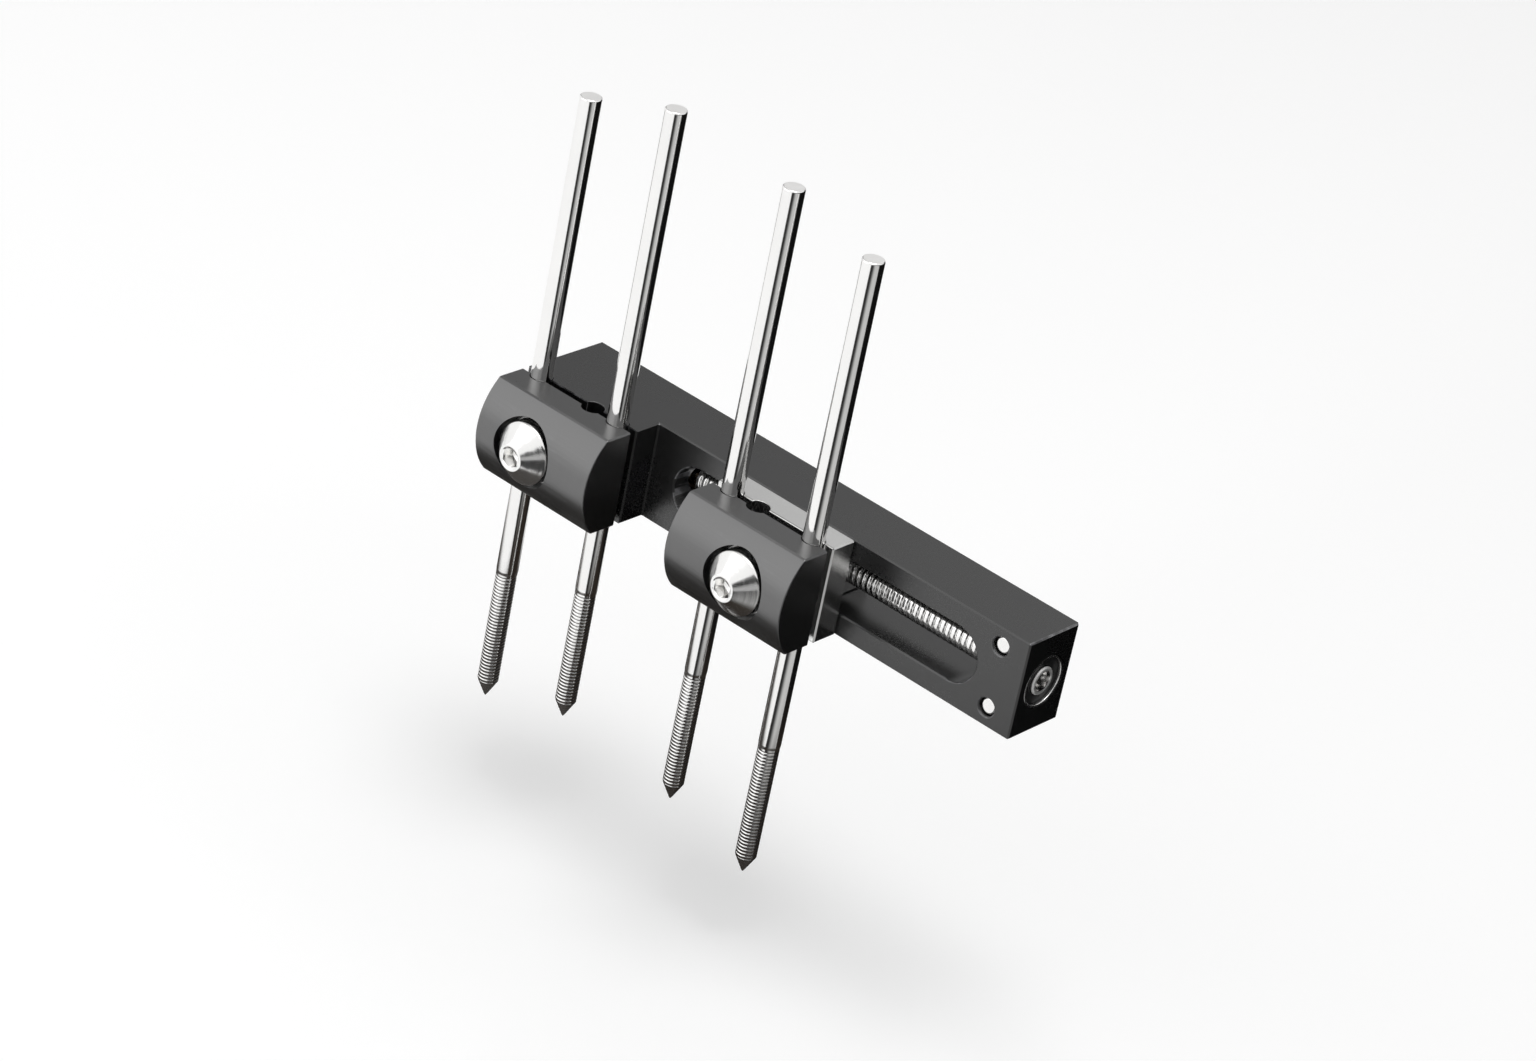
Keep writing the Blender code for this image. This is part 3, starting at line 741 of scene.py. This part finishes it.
class FIXATOR_OT_lead_screw(bpy.types.Operator):
    """Lead screw: plain pilot journal, long thread, collar and a nose with a hex socket"""

    bl_idname = "fixator.lead_screw"
    bl_label = "Lead screw"

    def execute(self, context):
        sizes = context.scene.fixator_threads
        low, high = corners("lead_screw")
        line = middle_of("lead_screw") * (0, 1, 1)
        slot_start, slot_end, collar_start = 14.3 * MM, 66.3 * MM, 71.4 * MM
        collar_end = collar_start + 0.6 * MM
        crest, journal, collar = 2.0 * MM, 1.5 * MM, 2.9 * MM
        start, end = slot_start + 1.0 * MM, slot_end + 0.1 * MM
        before = rounded(
            [
                (low[0], 0.0), (low[0], journal - 0.15 * MM), (low[0] + 0.15 * MM, journal),
                (start - 0.5 * MM, journal), (start, crest - sizes.lead_depth),
            ],
            0.08 * MM,
        )[1:]
        run = np.linspace(start, end, int((end - start) / sizes.lead_pitch * THREAD_STEPS))
        cut_radius, depth = thread(
            run, crest, sizes.lead_depth, sizes.lead_pitch,
            start - 2 * sizes.lead_pitch, end, sizes.lead_pitch * 0.6,
        )
        after = rounded(
            [
                (end + END_GAP, crest), (collar_start, crest), (collar_start, collar),
                (collar_end, collar), (collar_end, crest),
                (high[0] - 0.2 * MM, crest), (high[0], crest - 0.2 * MM),
                (high[0], SOCKET_MOUTH),
            ],
            0.06 * MM,
        )
        hole = socket_rings(high[0], sizes.hex_flats, sizes.hex_depth)
        places, radius, marks = joined(before.T, (run, cut_radius, depth), after.T, hole)
        cut = np.clip((places - high[0] + 0.3 * MM) / (0.1 * MM), 0, 1)
        cut[-len(hole[0]) + 1 :] = 0.0
        steel = polished_steel(
            "lead_steel", context.scene.fixator_finish, scale=5200, stretch=(1, 0.2, 0.2),
            gloss=0.1, groove_shade=0.05, relief=0.001 * MM,
        )
        turned_piece(
            "lead_screw_turned", "lead_screw", steel, "X", line, places, radius,
            {"depth": marks, "cut": cut},
        )
        return {"FINISHED"}


class FIXATOR_OT_clamp_screws(bpy.types.Operator):
    """Clamp screws: threaded shank, round skirt, polished cone and a hex socket"""

    bl_idname = "fixator.clamp_screws"
    bl_label = "Clamp screws"

    def execute(self, context):
        sizes = context.scene.fixator_threads
        steel = polished_steel(
            "polished_steel", context.scene.fixator_finish, scale=1900, stretch=(0.03, 1, 0.03),
            gloss=0.14, groove_shade=0.5, relief=0.03 * MM,
        )
        shank, tip = 1.95 * MM, 1.85 * MM
        for node in ("fixed_clamp_screw", "sliding_clamp_screw"):
            low, high = corners(node)
            middle = middle_of(node)
            line = (middle[0], high[1], middle[2])
            length = high[1] - low[1]
            head = (high[0] - low[0]) / 2
            seat = length - CLAMP_HEAD
            base = seat + CLAMP_SKIRT
            start, end = 0.3 * MM, seat - 1.2 * MM
            run = np.linspace(start, end, int(seat / sizes.clamp_pitch * THREAD_STEPS))
            cut_radius, depth = thread(
                run, shank, sizes.clamp_depth, sizes.clamp_pitch, -start, end, sizes.clamp_pitch
            )
            foot = rounded(
                [(0.0, 0.0), (0.0, shank - 0.4 * MM), (0.28 * MM, shank - 0.2 * MM)], 0.05 * MM
            )[1:]
            top = rounded(
                [
                    (seat - 1.1 * MM, shank), (seat, shank), (seat, head, 0.15 * MM),
                    (base, head, 0.22 * MM), (length, tip, 0.12 * MM), (length, SOCKET_MOUTH),
                ],
                0.05 * MM,
            )
            hole = socket_rings(length, sizes.hex_flats, sizes.hex_depth)
            places, radius, marks = joined(foot.T, (run, cut_radius, depth), top.T, hole)
            turned_piece(
                f"{node}_turned", node, steel, "-Y", line, places, radius, {"depth": marks}
            )
        return {"FINISHED"}


class FIXATOR_OT_pins(bpy.types.Operator):
    """Half pins: flat cut top, long polished shank, fine thread and a point"""

    bl_idname = "fixator.pins"
    bl_label = "Half pins"

    def execute(self, context):
        sizes = context.scene.fixator_threads
        steel = polished_steel(
            "pin_steel", context.scene.fixator_finish, scale=5200, stretch=(1, 1, 0.05),
            gloss=0.07, groove_shade=0.3, relief=0.0008 * MM,
        )
        crest, nib = 1.45 * MM, 0.12 * MM
        for node in ("pin_1", "pin_2", "pin_3", "pin_4"):
            low, high = corners(node)
            middle = middle_of(node)
            line = (middle[0], middle[1], low[2])
            length = high[2] - low[2]
            shank = (high[0] - low[0]) / 2
            neck = length - PIN_SHANK
            start, end = 0.4 * MM, neck - 0.5 * MM
            run = np.linspace(start, end, int((end - start) / sizes.pin_pitch * THREAD_STEPS))
            cut_radius, depth = thread(
                run, crest, sizes.pin_depth, sizes.pin_pitch, -1.0 * MM, end, sizes.pin_pitch
            )
            taper = nib + (crest - nib) * np.clip(run / PIN_POINT, 0, 1)
            cut_radius = np.minimum(cut_radius, taper[:, None] - 0.6 * sizes.pin_depth * depth)
            top = rounded(
                [
                    (end + END_GAP, crest), (neck - 0.4 * MM, crest), (neck, shank),
                    (length - 0.15 * MM, shank), (length, shank - 0.15 * MM),
                    (length, 0.6 * shank), (length, 0.1 * shank),
                ],
                0.12 * MM,
            )
            foot = np.array([(0.0, nib * 0.6), (0.06 * MM, nib)])
            places, radius, marks = joined(foot.T, (run, cut_radius, depth), top.T)
            cut = (places > length - 0.01 * MM).astype(float)
            turned_piece(
                f"{node}_turned", node, steel, "Z", line, places, radius,
                {"depth": marks, "cut": cut},
            )
        return {"FINISHED"}


class FIXATOR_OT_dowels(bpy.types.Operator):
    """Dowels across the rail, with rounded polished ends"""

    bl_idname = "fixator.dowels"
    bl_label = "Dowels"

    def execute(self, context):
        steel = polished_steel(
            "polished_steel", context.scene.fixator_finish, scale=5200, stretch=(1, 1, 1),
            gloss=0.1, groove_shade=0.0, relief=0.001 * MM,
        )
        for node in ("upper_dowel", "lower_dowel"):
            low, high = corners(node)
            reach, radius = (high[1] - low[1]) / 2, (high[0] - low[0]) / 2
            half = rounded(
                [
                    (0.0, radius), (reach - 0.2 * MM, radius), (reach, radius - 0.22 * MM),
                    (reach, 0.2 * radius),
                ],
                0.15 * MM,
            )
            profile = np.concatenate([half[::-1] * (-1, 1), half[1:]])
            turned_piece(
                f"{node}_turned", node, steel, "-Y", middle_of(node), profile[:, 0], profile[:, 1]
            )
        return {"FINISHED"}


class FIXATOR_OT_rings(bpy.types.Operator):
    """Bushes, washers, retaining ring, lead nut and threaded inserts with rounded edges"""

    bl_idname = "fixator.rings"
    bl_label = "Rings and bushes"

    def execute(self, context):
        finish = context.scene.fixator_finish
        bronze = turned_metal("bronze", finish.bronze, gloss=0.24, tarnish=0.5)
        satin = turned_metal("satin_steel", finish.steel, gloss=0.16, tarnish=0.15)
        polymer = black_polymer(finish)
        # Each ring's axis, bore radius and fillet in mm, and its material
        rings = {
            "pilot_bush": ("X", 1.56, 0.07, bronze), "end_bush": ("X", 2.06, 0.07, bronze),
            "thrust_washer": ("X", 2.06, 0.07, bronze), "lead_nut": ("X", 2.06, 0.1, bronze),
            "cover_washer": ("X", 2.06, 0.1, polymer), "retaining_ring": ("X", 3.35, 0.2, satin),
            "fixed_washer": ("-Y", 2.15, 0.1, satin), "sliding_washer": ("-Y", 2.15, 0.1, satin),
            "fixed_insert": ("-Y", 2.01, 0.05, satin), "sliding_insert": ("-Y", 2.01, 0.05, satin),
        }
        for node, (axis, bore, fillet, material) in rings.items():
            low, high = corners(node)
            column = {"X": 0, "-Y": 1}[axis]
            reach = (high[column] - low[column]) / 2
            outer = (high[2] - low[2]) / 2
            inner = bore * MM
            half = (outer + inner) / 2
            profile = rounded(
                [
                    (-reach, half), (-reach, outer), (reach, outer), (reach, inner),
                    (-reach, inner), (-reach, half),
                ],
                fillet * MM,
            )[:-1]
            turned_piece(
                f"{node}_turned", node, material, axis, middle_of(node),
                profile[:, 0], profile[:, 1], hoop=True,
            )
        return {"FINISHED"}


class FIXATOR_OT_milled(bpy.types.Operator):
    """Rail, jaws and carriage: the solids' shapes with finished edges"""

    bl_idname = "fixator.milled"
    bl_label = "Rail, jaws and carriage"

    def execute(self, context):
        finish = context.scene.fixator_finish
        milled = black_anodised(finish, finish.black_gloss, RAIL_IOR, finish.edge_wear_and_highlight)
        turned = black_anodised(
            finish, finish.black_gloss + JAW_ROUGHER, JAW_IOR, finish.edge_wear_and_highlight * JAW_WEAR_AND_HIGHLIGHT
        )
        smoothed_copy("rail_finished", "rail", milled)
        for node in ("fixed_jaw", "sliding_jaw"):
            smoothed_copy(f"{node}_finished", node, turned)
        smoothed_copy("carriage_finished", "carriage", ground_metal(finish))
        return {"FINISHED"}


# The camera's place and its picture's upward direction, and the point that all is turned to.
# On the ground AHEAD points from the object to the camera, and ASIDE to the camera's right
CAMERA_PLACE = Vector((326.87, -412.72, 272.06)) * MM
CAMERA_UP = Vector((-0.4793, 0.3070, 0.8222))
AIM = Vector((33.0, -13.0, 3.5)) * MM
AHEAD = (0.58, -0.815, 0.0)
ASIDE = (0.815, 0.58, 0.0)

# The dark card's sectors meet between the pins. Its patch is longer along X than along Y
PINS_MIDDLE = (17 * MM, -15 * MM)
PATCH_SQUEEZE = 0.62

# How far a lowered pin goes under the solids at rest, with a little to spare
FLOOR_DROP = 10.5 * MM


class FIXATOR_OT_stage(bpy.types.Operator):
    """Pale floor, soft lamps, even room light, cards for the reflections and the camera"""

    bl_idname = "fixator.stage"
    bl_label = "Stage, light and camera"

    def execute(self, context):
        studio = context.scene.fixator_studio
        ground = CAD_BOX[0][2] - FLOOR_DROP
        self.floor(studio, ground)
        self.dark_card(ground)
        self.upright_card(ground)
        self.grey_card()
        self.room(context, studio)
        self.lamp("key", place=(-0.40, -0.59, 0.29), size=0.80, power=1.05)
        self.lamp("top", place=(0.05, -0.05, 0.95), size=0.50, power=3.3)
        self.camera(context, studio)
        return {"FINISHED"}

    def sheet(self, name, half, height, material):
        """A square sheet at that height."""
        points = [(x * half, y * half, height) for x, y in ((-1, -1), (1, -1), (1, 1), (-1, 1))]
        mesh = bpy.data.meshes.new(name)
        mesh.from_pydata(points, [], [(0, 1, 2, 3)])
        mesh.materials.append(material)
        made = bpy.data.objects.new(name, mesh)
        bpy.context.scene.collection.objects.link(made)
        return made

    def floor(self, studio, ground):
        """A wide pale floor that keeps the object's shadow, low enough for a lowered pin."""
        m = Maker("pale_floor")
        tone = m.mix(m.noise(6, 3), shade_of(studio.floor, 0.985), shade_of(studio.floor, 1.0))
        glow = m.mix(m.shown(), grey(0.0), grey(0.1))
        material = m.finish(
            Base_Color=tone, Roughness=0.9, Emission_Color=glow, Emission_Strength=1.0
        )
        self.sheet("floor", half=3.0, height=ground - 0.2 * MM, material=material)

    def dark_card(self, ground):
        """A card on the floor that only reflections see: something dark for bright metal.

        It is laid out in sectors round the pins, by the angle from the camera's side: a dark
        line, a grey sector and a black one, with a soft dark patch close to the object.
        """
        m = Maker("dark_card")
        x, y = m.along("X", "Y")
        x, y = x - PINS_MIDDLE[0], y - PINS_MIDDLE[1]
        aside = x * ASIDE[0] + y * ASIDE[1]
        ahead = x * AHEAD[0] + y * AHEAD[1]
        angle = m.node("ShaderNodeMath", {"operation": "ARCTAN2"}, {0: aside, 1: ahead})
        back, left = y - 9 * MM, (x + 15 * MM) * PATCH_SQUEEZE
        out = (back * back + left * left) ** 0.5
        line = m.band(angle, (-0.2, -0.1), (0.12, 0.65))
        middle = m.band(angle, (-0.05, 0.0), (1.0, 1.2))
        black = m.band(angle, (1.0, 1.2), (2.5, 2.8))
        near = m.between(out, 43 * MM, 70 * MM, 0.97, 0.0)
        colour = m.mix(line, (0.6, 0.6, 0.595, 1), grey(0.03))
        colour = m.mix(black, colour, grey(0.006))
        earth = m.mix(m.noise(40, 3), (0.012, 0.010, 0.008, 1), (0.05, 0.04, 0.033, 1))
        colour = m.mix(near, colour, earth)
        matt = m.node("ShaderNodeBsdfDiffuse", {}, {"Color": colour})
        clear = m.node("ShaderNodeBsdfTransparent", {}, {})
        cover = m.most(line, middle, black, near)
        material = m.end(m.node("ShaderNodeMixShader", {}, {0: cover, 1: clear, 2: matt}))
        card = self.sheet("dark_card", half=0.6, height=ground + 0.3 * MM, material=material)
        self.only_mirrored(card)

    def upright_card(self, ground):
        """A curved dark wall by the camera that only reflections see, pale low at its left.

        Point (i, k) stands at angle i round the object and at the wall's foot or top.
        """
        steps, reach, top = 40, 0.5, 0.34
        angle = np.linspace(-0.1, 2.6, steps)[:, None, None]
        height = np.array([ground, ground + top])[None, :, None]
        way = np.sin(angle) * ASIDE + np.cos(angle) * AHEAD
        points = np.array(AIM) * (1, 1, 0) + reach * way + height * (0, 0, 1)
        faces = [(k, k + 2, k + 3, k + 1) for k in range(0, 2 * steps - 2, 2)]
        mesh = bpy.data.meshes.new("upright_card")
        mesh.from_pydata(points.reshape(-1, 3).tolist(), [], faces)
        m = Maker("upright_card")
        y, z = m.along("Y", "Z")
        pale = m.between(y, -0.25, 0.05, 1, 0) * m.between(z, 0.05, 0.14, 1, 0)
        tone = m.mix(pale, grey(0.02), grey(0.42))
        mesh.materials.append(m.end(m.node("ShaderNodeEmission", {}, {"Color": tone})))
        card = bpy.data.objects.new("upright_card", mesh)
        bpy.context.scene.collection.objects.link(card)
        self.only_mirrored(card)

    def grey_card(self):
        """A grey card high up behind the object, darker to the left, that only reflections see."""
        m = Maker("grey_card")
        (x,) = m.along("X")
        tone = m.mix(m.between(x, -0.46, -0.3), grey(0.42), grey(0.62))
        material = m.end(m.node("ShaderNodeEmission", {}, {"Color": tone}))
        card = self.sheet("grey_card", half=0.55, height=0.0, material=material)
        way, reach = Vector((-0.488, 0.686, 0.54)), 0.8
        turn = way.to_track_quat("Z", "Y").to_matrix().to_4x4()
        card.data.transform(Matrix.Translation(AIM + way * reach) @ turn)
        self.only_mirrored(card)

    def only_mirrored(self, card):
        """Leaves a card in reflections alone."""
        card.visible_camera = card.visible_diffuse = card.visible_shadow = False

    def room(self, context, studio):
        """An even white room, at full strength where it is seen or mirrored."""
        m = Maker("room", "World")
        tone = m.mix(m.shown(), grey(studio.sky), grey(1.0))
        context.scene.world = m.end(m.node("ShaderNodeBackground", {}, {"Color": tone}))

    def lamp(self, name, place, size, power):
        """A square lamp at that place from AIM, which it points at."""
        data = bpy.data.lights.new(name, "AREA")
        data.size, data.energy = size, power
        lamp = bpy.data.objects.new(name, data)
        lamp.location = AIM + Vector(place)
        lamp.rotation_mode = "QUATERNION"
        lamp.rotation_quaternion = Vector(place).to_track_quat("Z", "Y")
        bpy.context.scene.collection.objects.link(lamp)

    def camera(self, context, studio):
        """The camera, at the photograph's place and turned to the middle of the object."""
        data = bpy.data.cameras.new("camera")
        data.sensor_width, data.lens = 36.0, studio.lens
        data.clip_start, data.clip_end = 0.01, 20.0
        camera = bpy.data.objects.new("camera", data)
        back = (CAMERA_PLACE - AIM).normalized()
        right = CAMERA_UP.cross(back).normalized()
        turn = Matrix((right, back.cross(right), back)).transposed().to_4x4()
        camera.matrix_world = Matrix.Translation(CAMERA_PLACE) @ turn
        context.scene.collection.objects.link(camera)
        context.scene.camera = camera
        context.scene.view_settings.view_transform = "Standard"


class FIXATOR_PT_looks(bpy.types.Panel):
    """The steps that dress the fixator"""

    bl_idname = "FIXATOR_PT_looks"
    bl_label = "Fixator looks"
    bl_space_type = "VIEW_3D"
    bl_region_type = "UI"
    bl_category = "Fixator"

    def draw(self, context):
        for name in GROUPS:
            group = getattr(context.scene, name)
            column = self.layout.column()
            for key in group.__annotations__:
                column.prop(group, key)
        for step in STEPS:
            self.layout.operator(step.bl_idname)


STEPS = (
    FIXATOR_OT_milled,
    FIXATOR_OT_lead_screw,
    FIXATOR_OT_clamp_screws,
    FIXATOR_OT_pins,
    FIXATOR_OT_dowels,
    FIXATOR_OT_rings,
    FIXATOR_OT_stage,
)
GROUPS = {
    "fixator_threads": FixatorThreads,
    "fixator_finish": FixatorFinish,
    "fixator_studio": FixatorStudio,
}


def register():
    """Registers the groups, the steps and the panel."""
    for name, group in GROUPS.items():
        bpy.utils.register_class(group)
        setattr(bpy.types.Scene, name, PointerProperty(type=group))
    for made in (*STEPS, FIXATOR_PT_looks):
        bpy.utils.register_class(made)


def unregister():
    """Takes back what register added."""
    for made in reversed((*STEPS, FIXATOR_PT_looks)):
        bpy.utils.unregister_class(made)
    for name, group in GROUPS.items():
        delattr(bpy.types.Scene, name)
        bpy.utils.unregister_class(group)


def main():
    """Registers the groups, the steps and the panel, then runs every step in order."""
    register()
    bpy.ops.fixator.milled()
    bpy.ops.fixator.lead_screw()
    bpy.ops.fixator.clamp_screws()
    bpy.ops.fixator.pins()
    bpy.ops.fixator.dowels()
    bpy.ops.fixator.rings()
    bpy.ops.fixator.stage()


if __name__ == "__main__":
    main()
